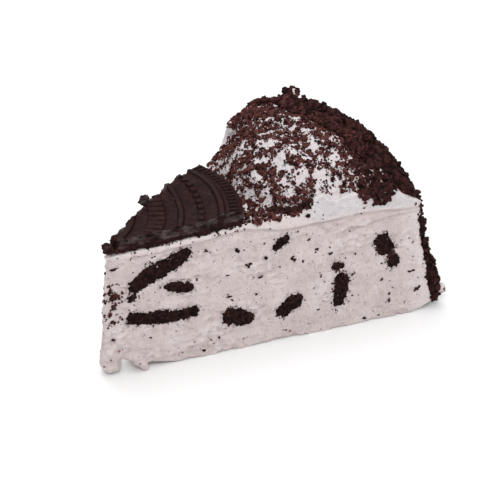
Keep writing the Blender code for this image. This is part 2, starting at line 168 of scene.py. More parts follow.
# The filling: set cheesecake, pale pinkish grey, full of cookie dust. Its cut sides carry the
# knife's faint lines, and its foot sags unevenly on the plate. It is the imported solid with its
# pockets closed, grown a little into the cream round it, so that no gap shows between the two.
FILLING_VOXEL = 0.55
# The line on the cuts between filling and cream, and a second one by the rim: radius and height
CREASE = [(0, 46.8), (13, 46.2), (30, 47), (52, 48.6), (69, 45.6), (80, 45.8), (97, 46.3), (118, 44.6)]
SECOND_CREASE = [(84, 40), (97, 41), (108, 42.6), (120, 43.2)]
SECOND_START = (84, 92)
OVERLAP = 1.2
CUT_REACH = 1.2
CREASE_DEPTH = 0.7
CREASE_GROOVE = 0.5
# How strongly painted shade darkens the creases on the cuts
CREASE_SHADE_STRENGTH = 0.45
CREAM_LIP = 0.3
WALL_SEAM_DEPTH = 0.12
POCKET_REACH = 0.9
# How far under the filling's top and behind its wall its skin counts as part of them
TOP_SKIN = 0.6
WALL_SKIN = 0.5
# The knife's marks, as how deep each kind goes
RIDGE_DEPTH = 0.12
WAVE_DEPTH = 0.34
TORN_DEPTH = 0.75
PIT_DEPTH = 0.8
SECOND_DEPTH = 0.45
# Sizes and strengths of the lumps in which the filling and the cream are stirred into each other
STIRRED = [(5, 1), (1.8, 0.5)]
# The foot is drawn up below this height, from this radius on, and by no more than this
FOOT_HEIGHT = 5
FOOT_START = (24, 34)
FOOT_SAG = 2.5
# Sizes of the clouds of colour, of the smudges and of the grain
FILLING_CLOUDS = 8
CREAM_CLOUDS = 6
SMUDGE_SIZE = 2.4
GRAIN_SIZE = 1.1
CLOUD_EDGES = (0.35, 0.68)
SMUDGE_EDGES = (0.50, 0.76)
SMUDGE_STRENGTH = 0.75
# How finely the knife's lines are drawn, per metre along, across and up, and how high they stand
KNIFE_LINES = (60, 60, 1100)
LINE_HEIGHT = 0.45
CHEESE_SURFACE = {
    "Roughness": 0.45, "Specular IOR Level": 0.35,
    "Subsurface Weight": 0.25, "Subsurface Radius": (1.0, 0.75, 0.7), "Subsurface Scale": 1.6 * MM,
}
FILLING_COLOUR = (0.640, 0.560, 0.555)
FILLING_SHADE = (0.545, 0.462, 0.460)
CREAM_COLOUR = (0.640, 0.600, 0.620)
CREAM_SHADE = (0.580, 0.522, 0.532)
CUT_CREAM_COLOUR = (0.680, 0.602, 0.596)
# Painted shade along the creases on the cuts
CREASE_PAINTED_SHADE = (0.400, 0.315, 0.305)
SMUDGE_COLOUR = (0.430, 0.350, 0.340)
# Painted shade for the hollows of the knife's relief on the cuts, and painted highlight for its ridges
HOLLOW_PAINTED_SHADE = (0.500, 0.420, 0.415)
RIDGE_PAINTED_HIGHLIGHT = (0.705, 0.640, 0.640)
# Specks of cookie in the filling: cell size, radius, share of the cells, colour
SPECKS = [
    (0.8, 0.22, 0.45, (0.33, 0.26, 0.26)),
    (1.3, 0.18, 0.45, (0.12, 0.08, 0.08)),
    (2.4, 0.17, 0.22, (0.12, 0.085, 0.085)),
    (2.4, 0.14, 0.30, (0.03, 0.018, 0.017)),
    (2.9, 0.15, 0.14, (0.20, 0.06, 0.05)),
    (7.0, 0.14, 0.20, (0.55, 0.42, 0.30)),
]
SPECK_GROWTH = 1.6
SPECK_EDGE = 0.12
SPECKS_IN_CREAM = 0.35
# The specks' outlines are stirred in lumps of this size, by up to half this reach
STIR_SIZE = 0.7
STIR_REACH = 0.9
loose_cookie = ("cookie_disc", "cookie_tip_fragment")
cookie_nodes = sorted(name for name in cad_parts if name.startswith("cookie_"))
wafer_nodes = [name for name in cookie_nodes if name not in loose_cookie]


def between(profile, value):
    """The height of a profile at each value, with a smooth run between its points."""
    xs = np.array([x for x, _ in profile], float)
    zs = np.array([z for _, z in profile], float)
    value = np.clip(value, xs[0], xs[-1])
    i = np.clip(np.searchsorted(xs, value) - 1, 0, len(xs) - 2)
    t = (value - xs[i]) / (xs[i + 1] - xs[i])
    return zs[i] + (zs[i + 1] - zs[i]) * t * t * (3 - 2 * t)


def step(low, high, value):
    """0 below low, 1 above high, and a smooth step between them."""
    t = np.clip((value - low) / (high - low), 0, 1)
    return t * t * (3 - 2 * t)


def bell(value):
    """1 at 0, falling off on both sides to about a third at 1."""
    return np.exp(-(value**2))


def uneven(points, size, seed=0):
    """Smooth noise of about -1 to 1 at each point, in lumps of that size in millimetres."""
    shift = Vector((17.3, 5.1, 9.7)) * seed
    return np.array([noise.noise(Vector(point) / size + shift) for point in points])


def lumpy(points, lumps, seed):
    """Noise in lumps of several sizes, each with its own height."""
    return sum(amount * uneven(points, size, seed + i) for i, (size, amount) in enumerate(lumps))


def read_points(piece):
    """The corners of a piece in millimetres from the cake's axis, and their normals."""
    mesh = piece.data
    points = np.empty(len(mesh.vertices) * 3)
    normals = np.empty(len(mesh.vertices) * 3)
    mesh.vertices.foreach_get("co", points)
    mesh.vertices.foreach_get("normal", normals)
    return (points.reshape(-1, 3) - np.array(AXIS)) / MM, normals.reshape(-1, 3)


def write_points(piece, points):
    piece.data.vertices.foreach_set("co", (points * MM + np.array(AXIS)).ravel())
    piece.data.update()


def polar(points):
    return np.hypot(points[:, 0], points[:, 1]), np.arctan2(points[:, 1], points[:, 0])


def wall_radius(z):
    return FILLING_RADIUS + CREAM_WALL - WALL_LEAN * z


def take_up(piece):
    """Makes a piece the only chosen one."""
    bpy.ops.object.select_all(action="DESELECT")
    piece.select_set(True)
    bpy.context.view_layer.objects.active = piece


def merged_copy(node, name):
    """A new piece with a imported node's form, its loose triangles joined at their corners."""
    piece = new_object(name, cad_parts[node].data.copy())
    piece.data.materials.clear()
    take_up(piece)
    bpy.ops.object.mode_set(mode="EDIT")
    bpy.ops.mesh.select_all(action="SELECT")
    bpy.ops.mesh.remove_doubles(threshold=0.000001)
    bpy.ops.object.mode_set(mode="OBJECT")
    return piece


def remesh(piece, voxel):
    """Gives a piece even, small, smooth-shaded faces."""
    take_up(piece)
    even = piece.modifiers.new("even", "REMESH")
    even.mode = "VOXEL"
    even.voxel_size = voxel * MM
    bpy.ops.object.modifier_apply(modifier=even.name)
    bpy.ops.object.shade_smooth()


def cut_share(points, reach):
    """1 on either cut, falling to 0 at a reach behind it, and the direction into the slice."""
    share = {side: 1 - step(0.3 * reach, reach, points @ inward(side)) for side in (NEAR, FAR)}
    direction = share[NEAR][:, None] * inward(NEAR) + share[FAR][:, None] * inward(FAR)
    return np.maximum(share[NEAR], share[FAR]), direction


def above_crease(points):
    r, _ = polar(points)
    return points[:, 2] - between(CREASE, r)


def outside_filling(points):
    r, _ = polar(points)
    return r - (wall_radius(points[:, 2]) - CREAM_WALL)


def seam_depth(points, side):
    """How far the cheese dips at its seam with the cream, on the filling's or the cream's side."""
    crease = CREASE_DEPTH * step(0, 1.0, side * above_crease(points))
    wall = WALL_SEAM_DEPTH * step(0, 0.6, side * outside_filling(points))
    return np.maximum(crease, wall) if side > 0 else np.minimum(crease, wall)


def along_cut(points, run, rise, apart, seed, slope=0.0):
    """Noise in lumps that are run long and rise high on a cut, with others on the far cut."""
    r, angle = polar(points)
    return uneven(np.stack([r / run, np.sign(angle) * apart, points[:, 2] / rise + r * slope], 1), 1, seed)


def second_crease(points, width):
    """1 on the second crease, which only the near cut has, falling to 0 beside it."""
    r, angle = polar(points)
    away = points[:, 2] - between(SECOND_CREASE, r)
    return bell(away / width) * step(*SECOND_START, r) * (angle < 0)


def knife_lines(points):
    """Fine ridges that run along a cut, torn patches, a slow waviness and a second crease."""
    fine = along_cut(points, run=26, rise=0.9, apart=3, seed=2, slope=0.02)
    broad = along_cut(points, run=11, rise=5, apart=5, seed=3)
    torn = step(-0.15, 0.35, along_cut(points, run=15, rise=9, apart=7, seed=5))
    torn = torn * along_cut(points, run=2.4, rise=1.5, apart=9, seed=4)
    pits = np.clip(uneven(points, 1.5, 7) - 0.3, 0, 1)
    above = above_crease(points)
    groove = CREASE_GROOVE * bell(above / 0.5) - CREAM_LIP * step(0, 1.5, above)
    marks = RIDGE_DEPTH * fine + WAVE_DEPTH * broad + TORN_DEPTH * torn + PIT_DEPTH * pits
    return marks + SECOND_DEPTH * second_crease(points, 0.6) + groove


def creaminess(points):
    """How white the cheese is at a place: 0 in the filling, 1 in the cream, and mixed between."""
    stirred = lumpy(points, STIRRED, 12)
    above = step(-0.4, 0.9, above_crease(points) + 0.5 * stirred)
    outside = step(-7.0, 3.0, outside_filling(points) + 4 * stirred)
    return np.maximum(above, 0.75 * outside)


def mark(piece, name, values):
    """Keeps a number at each corner of a piece, for its material to read."""
    layer = piece.data.attributes.new(name, "FLOAT", "POINT")
    layer.data.foreach_set("value", np.asarray(values, dtype=np.float32))


def mark_cheese(piece):
    """Marks what the cheese's material reads: whiteness, creases, and the relief of the cuts, which gets
    painted shade in its hollows and painted highlight on its ridges.
    """
    points, _ = read_points(piece)
    r, _ = polar(points)
    # Where the creases get painted shade on the cuts
    crease = bell(above_crease(points) / 0.45) * step(4, 20, r)
    mark(piece, "creaminess", creaminess(points))
    mark(piece, "crease", np.maximum(crease, 0.7 * second_crease(points, 0.5)))
    on_cut = cut_share(points, 1.6)[0]
    mark(piece, "on_cut", on_cut)
    carved = knife_lines(points) * on_cut
    # The relief's hollows get painted shade and its ridges get painted highlight
    mark(piece, "hollow", step(0.05, 0.5, carved))
    mark(piece, "ridge", step(0.05, 0.5, -carved))
    mark(piece, "warm", on_cut * (1 - step(74, 80, r) * step(0.8, 2.2, above_crease(points))))


def read_mark(place, name):
    return add(place, "Attribute", {}, attribute_name=name).outputs["Fac"]


def times(value, factor):
    return add(value, "Math", {0: value, 1: factor}, operation="MULTIPLY").outputs[0]


def ramp(value, low, high, start=0.0, end=1.0):
    """Carries the run of a value from low to high over to a run from start to end."""
    ends = {"Value": value, "From Min": low, "From Max": high, "To Min": start, "To Max": end}
    return add(value, "MapRange", ends).outputs[0]


def noise_at(place, size, detail):
    """Noise of about 0 to 1 in clouds of that size in millimetres."""
    clouds = {"Vector": place, "Scale": 1 / (size * MM), "Detail": detail}
    return add(place, "TexNoise", clouds).outputs["Fac"]


def drawn_out(place, scale, detail):
    """Noise drawn out in one direction, by its scale per metre along, across and up."""
    drawn = add(place, "Mapping", {"Vector": place, "Scale": scale}).outputs[0]
    return add(drawn, "TexNoise", {"Vector": drawn, "Scale": 1.0, "Detail": detail}).outputs["Fac"]


def bumpy(shader, height, strength, depth):
    bump = add(height, "Bump", {"Height": height, "Strength": strength, "Distance": depth * MM})
    link(bump.outputs[0], shader.inputs["Normal"])


def speckled(place, colour, amount):
    """Adds dots of cookie dust to a colour: one dot or none in each cell of a pattern."""
    stir = {"Vector": place, "Scale": 1 / (STIR_SIZE * MM), "Detail": 1.0}
    stir = add(place, "TexNoise", stir).outputs["Color"]
    stir = add(stir, "VectorMath", {0: stir, 1: (0.5, 0.5, 0.5)}, operation="SUBTRACT").outputs[0]
    stir = add(stir, "VectorMath", {0: stir, "Scale": STIR_REACH * MM}, operation="SCALE").outputs[0]
    moved = add(place, "VectorMath", {0: place, 1: stir}, operation="ADD").outputs[0]
    for cell, radius, share, dot in SPECKS:
        cells = add(moved, "TexVoronoi", {"Vector": moved, "Scale": 1 / (cell * MM)})
        chance = add(moved, "SeparateColor", {"Color": cells.outputs["Color"]}).outputs[0]
        size = ramp(chance, 1 - share, 1, 0, SPECK_GROWTH * radius)
        inside = {0: size, 1: cells.outputs["Distance"]}
        inside = add(size, "Math", inside, operation="SUBTRACT").outputs[0]
        colour = mixed(times(ramp(inside, 0, SPECK_EDGE), amount), colour, dot)
    return colour


def cloudy(place, size, colour, shade):
    """A colour that drifts towards a second one in clouds of that size in millimetres."""
    return mixed(ramp(noise_at(place, size, detail=4.0), *CLOUD_EDGES), colour, shade)


def cheese_finish(name):
    """Soft cheese, from the filling's greyish pink to the cream's white as its corners say, with painted
    shade in the cuts' hollows and creases and painted highlight on their ridges.
    """
    material, shader, place = new_material(name, CHEESE_SURFACE)
    white = read_mark(place, "creaminess")
    on_cut = read_mark(place, "on_cut")
    filled = cloudy(place, FILLING_CLOUDS, FILLING_COLOUR, FILLING_SHADE)
    smudge = ramp(noise_at(place, SMUDGE_SIZE, detail=6.0), *SMUDGE_EDGES, 0, SMUDGE_STRENGTH)
    filled = mixed(smudge, filled, SMUDGE_COLOUR)
    # Painted shade in the cuts' hollows and painted highlight on their ridges
    for relief, tint, strength in (("hollow", HOLLOW_PAINTED_SHADE, 0.7), ("ridge", RIDGE_PAINTED_HIGHLIGHT, 0.6)):
        filled = mixed(times(read_mark(place, relief), strength), filled, tint)
    creamy = cloudy(place, CREAM_CLOUDS, CREAM_COLOUR, CREAM_SHADE)
    creamy = mixed(read_mark(place, "warm"), creamy, CUT_CREAM_COLOUR)
    colour = mixed(white, filled, creamy)
    # Painted shade darkens the creases on the cuts
    crease = times(times(read_mark(place, "crease"), on_cut), CREASE_SHADE_STRENGTH)
    colour = mixed(crease, colour, CREASE_PAINTED_SHADE)
    colour = speckled(place, colour, ramp(white, 0, 1, 1.0, SPECKS_IN_CREAM))
    link(colour, shader.inputs["Base Color"])
    lines = times(times(drawn_out(place, KNIFE_LINES, detail=3.0), on_cut), LINE_HEIGHT)
    grain = noise_at(place, GRAIN_SIZE, detail=5.0)
    height = add(lines, "Math", {0: lines, 1: grain}, operation="ADD").outputs[0]
    bumpy(shader, height, strength=0.9, depth=0.8)
    return material


def corner_tree(pieces):
    """A search tree of the pieces' corners, and their normals."""
    corners = [corner for piece in pieces for corner in piece.data.vertices]
    tree = kdtree.KDTree(len(corners))
    for i, corner in enumerate(corners):
        tree.insert(corner.co, i)
    tree.balance()
    return tree, [corner.normal.copy() for corner in corners]


def close_pockets(piece):
    """Takes out the pockets round the broken wafer and closes each cut flat over them."""
    tree, _ = corner_tree([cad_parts[node] for node in wafer_nodes])
    points, _ = read_points(piece)
    depth = np.minimum(points @ inward(NEAR), points @ inward(FAR))
    mesh = piece.data
    mesh.polygons.foreach_set("select", [False] * len(mesh.polygons))
    mesh.edges.foreach_set("select", [False] * len(mesh.edges))
    for corner in mesh.vertices:
        corner.select = bool(depth[corner.index] > 0.1) and tree.find(corner.co)[2] < POCKET_REACH * MM
    take_up(piece)
    bpy.ops.object.mode_set(mode="EDIT")
    bpy.ops.mesh.select_mode(type="VERT")
    bpy.ops.mesh.delete(type="VERT")
    bpy.ops.mesh.select_all(action="SELECT")
    bpy.ops.mesh.fill_holes(sides=0)
    bpy.ops.object.mode_set(mode="OBJECT")


def carve(points, side):
    """Gives the points on the cuts the knife's marks and the seam, and returns how near each is."""
    share, direction = cut_share(points, CUT_REACH)
    points += direction * ((knife_lines(points) + seam_depth(points, side)) * share)[:, None]
    return share


def shape_filling(piece):
    """Grows the filling into the cream, and gives its cuts and its foot their relief."""
    close_pockets(piece)
    points, _ = read_points(piece)
    r, _ = polar(points)
    top = above_crease(points) > -TOP_SKIN
    outer = outside_filling(points) > -WALL_SKIN
    points[top, 2] += OVERLAP
    points[outer, :2] *= ((r[outer] + OVERLAP) / r[outer])[:, None]
    write_points(piece, points)
    remesh(piece, FILLING_VOXEL)
    points, _ = read_points(piece)
    r, _ = polar(points)
    share = carve(points, 1)
    foot = (1 - step(0.5, FOOT_HEIGHT, points[:, 2])) * step(*FOOT_START, r) * share
    sag = 1.6 * uneven(points * (1, 1, 0), 7, 6) + 0.9 * uneven(points * (1, 1, 0), 2.6, 10) + 0.5
    points[:, 2] += foot * np.clip(1.15 * sag, 0, FOOT_SAG)
    write_points(piece, points)
    mark_cheese(piece)


filling = merged_copy("filling", "cut_filling")
shape_filling(filling)
filling.data.materials.append(cheese_finish("cheesecake_filling"))
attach(filling, "root")
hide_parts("filling")


# The whipped cream: a thin layer that the cookie lies on, a swirled mound near the rim and a
# thin wall down the outer side, spread in one go. It is a shell between its underside and its
# top, drawn out round the slice and closed at both cuts.
WALL_TOP = 48.0
WALL_BASE = 0.6
TIP = 1.5
LAYER_TOP = [(0, 48.5), (17, 49), (35, 49.8), (52, 51.3), (60, 51), (122, 50.5)]
COOKIE_CENTRE = (0.2, 22.3)
COOKIE_RADIUS = 63
MOUND_RADIUS = 107.7
MOUND_ANGLE = radians(3)
MOUND_LENGTH = 49
MOUND_WIDTH = 39.4
MOUND_HEIGHT = 18
MOUND_CROWN = 2.92
MOUND_SIDE = 0.72
SWIRL_HEIGHT = 0.8
SWIRL_ROWS = 0.42
SWIRL_TURN = 5
TOP_LUMPS = 9
TOP_RELIEF = 0.9
# What the knife smeared up at the near cut: a knob, and a lip that runs on from it to the rim
KNOB_HEIGHT = 6
KNOB_RADIUS = 81
KNOB_WIDTH = 5.5
KNOB_REACH = 9
LIP_HEIGHT = 4.2
LIP_START = (84, 92)
LIP_END = (108, 117)
LIP_REACH = 10
# The thin layer's swelling and its dip on the far side of the cookie
SWELL = 1.1
DIP = 1.8
# Where the ring of coarse crumbs begins
RING_RADIUS = 104
RING_BULGE = 5
RING_CLOSING = radians(8)
SHOULDER_START = 105
COAT_TOP = 2.4
# How far the knife pressed the cream's wall out over the coat at the near cut, by height
PRESSED_OUT = [
    (0, 2.8), (6, 2.2), (13, 1.5), (20, 1.5), (26, 0.6), (34, 0.1), (39, -0.1), (44, 1.1), (50, 1.2),
]
PRESSED_REACH = 2.6
CREAM_STATIONS = 90
CREAM_VOXEL = 0.55
RIPPLES = [(3.2, 0.35), (1.5, 0.2)]
# The outer foot by the near cut is drawn up off the plate: radii, height, reach and lift
CORNER_RUN = (121, 128)
CORNER_HEIGHT = 7
CORNER_REACH = 5
CORNER_LIFT = 3
# Dabs that stand up from the cream or hang from it: radius, angle in degrees, height, and half size
DABS = [
    ((86.5, 17.8, 61.2), (2.8, 2.6, 2.9)), ((76, 6, 62), (2.2, 2.2, 2.2)),
    ((109.6, 11.7, 68.6), (3.1, 3.1, 2.5)), ((131.5, -19.5, 7.0), (1.6, 1.6, 2.6)),
]


def cookie_edge(angle):
    """The radius at which the cookie ends."""
    along = COOKIE_CENTRE[0] * np.cos(angle) + COOKIE_CENTRE[1] * np.sin(angle)
    return along + np.sqrt(along**2 - COOKIE_CENTRE[0]**2 - COOKIE_CENTRE[1]**2 + COOKIE_RADIUS**2)


def ring_start(angle):
    """The radius at which the ring of coarse crumbs begins, only at the rim by the near cut."""
    ring = RING_RADIUS - RING_BULGE * np.sin((angle + FACE) / (2 * FACE) * pi)
    by_the_cut = wall_radius(WALL_TOP) - 1.6
    return by_the_cut + (ring - by_the_cut) * step(-FACE, -FACE + RING_CLOSING, angle)


def layer_top(r, angle):
    """The thin layer of cream, which swells and then sinks along the cookie's far side."""
    swell = SWELL * step(8, 28, r) * (1 - step(40, 64, r))
    dip = DIP * step(40, 70, r) * (1 - step(72, 90, r))
    return between(LAYER_TOP, r) + (swell - dip) * step(0, FACE, angle)


def by_near_cut(r, angle, reach):
    return bell(r * (angle + FACE) / reach)


def cream_height(r, angle):
    """The top of the cream: the layer, the mound with its swirl, and the pressed rim."""
    along = r * np.cos(angle - MOUND_ANGLE) - MOUND_RADIUS
    across = r * np.sin(angle - MOUND_ANGLE)
    distance = np.hypot(along / MOUND_LENGTH, across / MOUND_WIDTH)
    rise = MOUND_HEIGHT * np.maximum(1 - distance**MOUND_CROWN, 0) ** MOUND_SIDE
    rise = rise * (1 - 0.6 * step(radians(8), FACE, angle) * (1 - step(81, 89, r)))
    swirl = SWIRL_HEIGHT * np.sin(SWIRL_ROWS * r + SWIRL_TURN * angle) * np.minimum(rise / 6, 1)
    knob = KNOB_HEIGHT * bell((r - KNOB_RADIUS) / KNOB_WIDTH) * by_near_cut(r, angle, KNOB_REACH)
    lip = LIP_HEIGHT * step(*LIP_START, r) * (1 - step(*LIP_END, r)) * by_near_cut(r, angle, LIP_REACH)
    flat = np.stack([r * np.cos(angle), r * np.sin(angle), np.zeros_like(r)], -1)
    patchy = TOP_RELIEF * uneven(flat.reshape(-1, 3), TOP_LUMPS).reshape(r.shape)
    pressed = (COAT_TOP + 0.3) * step(ring_start(angle) - 1, ring_start(angle) + 4, r)
    rise = np.maximum(np.maximum(rise + swirl, knob + lip) + patchy - pressed, 0.4)
    rim = wall_radius(WALL_TOP)
    shoulder = np.maximum(1 - (np.maximum(r - SHOULDER_START, 0) / (rim - SHOULDER_START)) ** 2, 0)
    sag = (between(LAYER_TOP, rim) - WALL_TOP) * step(110, rim, r)
    return layer_top(r, angle) + rise * step(0, 8, r - cookie_edge(angle) - 1) * np.sqrt(shoulder) - sag


def pressed_out(z, from_cut):
    """How far the wall stands out past its place, at a height and a distance from the near cut."""
    ragged = 0.5 * np.sin(1.9 * z) * np.sin(0.83 * z + 1)
    return (between(PRESSED_OUT, z) + ragged) * bell(from_cut / PRESSED_REACH)


def cream_outline(angle):
    """The outline of the cream at an angle, as radii and heights: top, wall, and underside."""
    rim = wall_radius(WALL_TOP)
    shoulder_r = SHOULDER_START + (rim - SHOULDER_START) * np.sin(np.linspace(0.1, pi / 2, 20))
    top_r = np.concatenate([np.linspace(TIP + 0.15, SHOULDER_START, 90), shoulder_r])
    top_z = cream_height(top_r, np.full_like(top_r, angle))
    wall_z = np.linspace(WALL_TOP - 1, WALL_BASE, 30)
    inner_z = np.linspace(WALL_BASE, 40, 26)
    inner_r = wall_radius(inner_z) - CREAM_WALL - OVERLAP
    under_r = np.linspace(wall_radius(46) - CREAM_WALL - OVERLAP, TIP + 0.15, 80)
    under_z = between(CREASE, under_r) - OVERLAP
    r = np.concatenate([top_r, wall_radius(wall_z), inner_r, under_r])
    z = np.concatenate([top_z, wall_z, inner_z, under_z])
    r[len(top_r):len(top_r) + len(wall_z)] += pressed_out(wall_z, rim * (angle + FACE))
    return [on_cake(a * cos(angle), a * sin(angle), b) for a, b in zip(r, z)]


def cream_shell(name):
    """Joins the cream's outlines at even angles, with a flat face on each cut."""
    corners = []
    angles = np.linspace(-FACE, FACE, CREAM_STATIONS)
    for angle in angles:
        corners += cream_outline(angle)
    count = len(corners) // CREAM_STATIONS
    faces = [tuple(range(count)), tuple(reversed(range(len(corners) - count, len(corners))))]
    for k in range(CREAM_STATIONS - 1):
        for i in range(count):
            j = (i + 1) % count
            faces.append((k * count + j, k * count + i, (k + 1) * count + i, (k + 1) * count + j))
    mesh = bpy.data.meshes.new(name)
    mesh.from_pydata(corners, [], faces)
    return new_object(name, mesh)


def add_dabs(piece):
    """Joins the dabs to the cream as balls, which the remeshing then melts into it."""
    dabs = []
    for (r, angle, z), size in DABS:
        turn = radians(angle)
        place = on_cake(r * cos(turn), r * sin(turn), z)
        bpy.ops.mesh.primitive_ico_sphere_add(subdivisions=3, radius=MM, scale=size, location=place)
        dabs.append(bpy.context.object)
    for part in dabs + [piece]:
        part.select_set(True)
    bpy.context.view_layer.objects.active = piece
    bpy.ops.object.join()


def shape_cream(piece):
    """Gives the cream's cuts their relief, lifts its outer corner, and ripples its top."""
    add_dabs(piece)
    remesh(piece, CREAM_VOXEL)
    points, normals = read_points(piece)
    share = carve(points, -1)
    r, _ = polar(points)
    corner = step(*CORNER_RUN, r) * (1 - step(0, CORNER_HEIGHT, points[:, 2]))
    corner = corner * bell(points @ inward(NEAR) / CORNER_REACH)
    points[:, 2] += CORNER_LIFT * corner
    on_top = (1 - share) * step(48, 52, points[:, 2])
    points += normals * (lumpy(points, RIPPLES, 8) * on_top)[:, None]
    write_points(piece, points)
    mark_cheese(piece)


cream = cream_shell("spread_cream")
shape_cream(cream)
cream.data.materials.append(cheese_finish("whipped_cream"))
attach(cream, "root")
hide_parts("cream_topping")


# The coat: coarse dark cake crumbs pressed on the rim and the outer side, heaped at the foot.
# This piece is the imported mass of them, remeshed, drawn in a little and roughened. Loose crumbs lie
# on it further down.
COAT_VOXEL = 0.6
COAT_THINNING = 0.8
COAT_THIN_REACH = 7
# How far the coat is pushed in behind the cream at the near cut, and lifted off the plate there
COAT_COVER = 1.2
COAT_FOOT_LIFT = 1.6
COAT_FOOT = 7
COAT_SHRINK = -0.3
COAT_LUMPS = [(2.6, 0.7), (1.3, 0.7)]
LOWEST = 0.05
CRUMB_SURFACE = {"Roughness": 0.8, "Specular IOR Level": 0.25, "IOR": 1.2}
CRUMB_DARK = (0.014, 0.0058, 0.0054)
CRUMB_RED = (0.068, 0.025, 0.022)
CRUMB_GRAIN = 0.35


def crumb_finish(name, dark, light, cell):
    """Dry cake crumb: a tone of its own for each cell, and a rough, matt skin."""
    material, shader, place = new_material(name, CRUMB_SURFACE)
    cells = add(place, "TexVoronoi", {"Vector": place, "Scale": 1 / (cell * MM)}).outputs["Color"]
    tone = add(cells, "SeparateColor", {"Color": cells}).outputs[0]
    fleck = noise_at(place, CRUMB_GRAIN, detail=2.0)
    link(mixed(ramp(times(tone, fleck), 0.1, 0.6), dark, light), shader.inputs["Base Color"])
    bumpy(shader, fleck, strength=0.8, depth=0.2)
    return material


def roughen(piece, voxel, grow, lumps, seed):
    """Remeshes a piece and moves its skin out by a base amount and lumps of several sizes."""
    remesh(piece, voxel)
    points, normals = read_points(piece)
    points += normals * (grow + lumpy(points, lumps, seed))[:, None]
    points[:, 2] = np.maximum(points[:, 2], LOWEST)
    write_points(piece, points)


def thin_at_cut(piece):
    """Draws the coat in at the near cut: behind the cream, thinner, and off the plate."""
    points, _ = read_points(piece)
    r, _ = polar(points)
    from_cut = points @ inward(NEAR)
    close = bell(from_cut / COAT_THIN_REACH)
    outer = step(0, 3, r - wall_radius(points[:, 2]))
    points[:, :2] *= (1 - COAT_THINNING * close * outer / r)[:, None]
    covered = step(-0.6, 0.4, pressed_out(points[:, 2], from_cut) + wall_radius(points[:, 2]) - r)
    points += inward(NEAR) * (COAT_COVER * covered * (1 - step(0.5, 2, from_cut)))[:, None]
    points[:, 2] += COAT_FOOT_LIFT * close * (1 - step(0, COAT_FOOT, points[:, 2]))
    write_points(piece, points)


coarse_crumb = crumb_finish("cake_crumbs_coarse", CRUMB_DARK, CRUMB_RED, cell=1.6)
coat = merged_copy("rim_crumb_coat", "crumb_coat")
roughen(coat, COAT_VOXEL, COAT_SHRINK, COAT_LUMPS, 20)
thin_at_cut(coat)
coat.data.materials.append(coarse_crumb)
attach(coat, "root")
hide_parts("rim_crumb_coat")


# The cookie: a large embossed chocolate wafer that was cut with the cake. Its top keeps the
# press's rings, beads and petals, and its cut sides are broken and crumbly.
COOKIE_VOXEL = 0.28
WAFER_SURFACE = {"Roughness": 0.6, "Specular IOR Level": 0.3, "IOR": 1.2}
COOKIE_TONE = (0.0112, 0.0034, 0.0032)
COOKIE_LIGHT = (0.0265, 0.0088, 0.0084)
# Pale marks by the cut edges, partly real dust and partly painted sheen
DUST_AND_SHEEN = (0.120, 0.092, 0.094)
DUST_AND_SHEEN_WIDTH = 1.8
DUST_AND_SHEEN_HEIGHT = 2.6
COOKIE_TOP = 5.1
# Sizes and heights of the lumps: on the cut sides, which crumble this deep, and on the skin
CRUMBLED = [(2.2, 0.9), (1.0, 0.5)]
CRUMBLE_REACH = 1.5
BAKED = [(0.9, 0.10), (4, 0.12)]
MOTTLE_SIZE = 2.5
WAFER_GRAIN = 0.8
# How finely the dust and the painted sheen are smeared, per metre along, across and up
SMEAR_LINES = (260, 260, 700)
# The flake that stands on the far edge leans towards the rim
FLAKE_RADIUS = 29
FLAKE_REACH = 4.5
FLAKE_FOOT = 6
FLAKE_LEAN = 1.0
FLAKE_SHRINK = 0.35
FLAKE_LUMPS = [(1.5, 2.2), (0.8, 1.2)]


def cookie_finish(name, tone, light, dust_and_sheen_share):
    """Dark baked wafer: mottled brown, finely pitted, with painted sheen on its raised pattern, painted
    shade on the pattern's flanks, and pale marks in places that are partly real dust and partly painted
    sheen.
    """
    material, shader, place = new_material(name, WAFER_SURFACE)
    colour = mixed(ramp(noise_at(place, MOTTLE_SIZE, detail=4.0), 0.35, 0.7), tone, light)
    # Painted sheen on the raised pattern, and painted shade on its steep flanks
    raised_painted_sheen = tuple(1.4 * value for value in light)
    shaded = tuple(0.4 * value for value in tone)
    for relief, strength, tint in (("raised", 0.3, raised_painted_sheen), ("flank", 0.75, shaded)):
        colour = mixed(times(read_mark(place, relief), strength), colour, tint)
    # Pale marks, partly dust and partly painted sheen, thickest by the cut edges
    start = ramp(read_mark(place, "dust_and_sheen_edge"), 0, 1, 0.66 - 0.2 * dust_and_sheen_share, 0.42)
    dust_and_sheen = ramp(drawn_out(place, SMEAR_LINES, detail=7.0), start, 0.85)
    link(mixed(dust_and_sheen, colour, DUST_AND_SHEEN), shader.inputs["Base Color"])
    bumpy(shader, noise_at(place, WAFER_GRAIN, detail=5.0), strength=0.6, depth=0.22)
    return material


